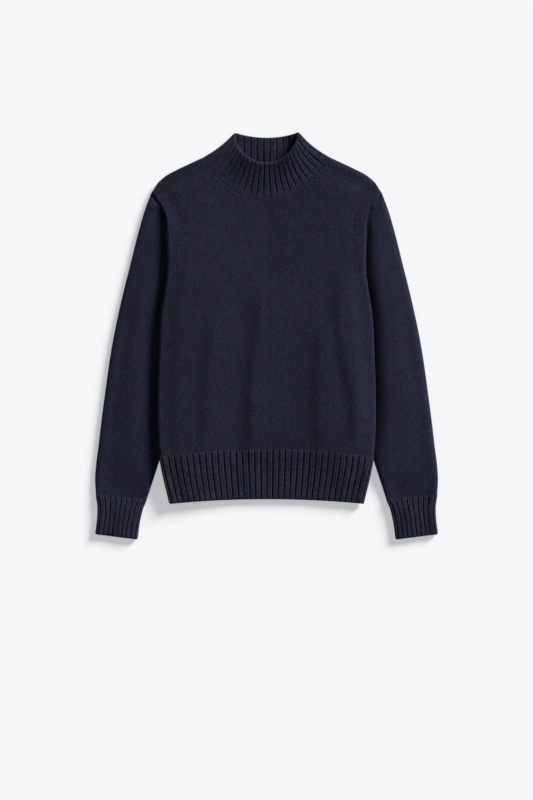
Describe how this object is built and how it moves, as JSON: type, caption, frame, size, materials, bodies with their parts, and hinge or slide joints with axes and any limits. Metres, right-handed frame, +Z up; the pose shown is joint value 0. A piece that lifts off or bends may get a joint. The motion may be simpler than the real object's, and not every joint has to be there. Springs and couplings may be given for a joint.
{
  "type": "knit sweater",
  "caption": "Chunky knit pullover with a ribbed funnel neck, deep ribbed hem and ribbed cuffs, laid flat on its back.",
  "frame": {"origin": "on the surface the pullover lies on, below the middle of its outline", "axes": "+X towards its right side as seen from above, +Y towards the neck, +Z up out of the front"},
  "size_m": [0.5964, 0.7094, 0.0203],
  "materials": {
    "plain_knit": "matte heathered navy plain knit",
    "rib_knit": "matte heathered navy rib knit"
  },
  "bodies": {
    "root": {"front": "plain_knit", "back": "plain_knit", "sleeve_left": "plain_knit", "sleeve_right": "plain_knit", "hem_front": "rib_knit", "hem_back": "rib_knit", "cuff_left": "rib_knit", "cuff_right": "rib_knit", "collar": "rib_knit"}
  },
  "joints": []
}
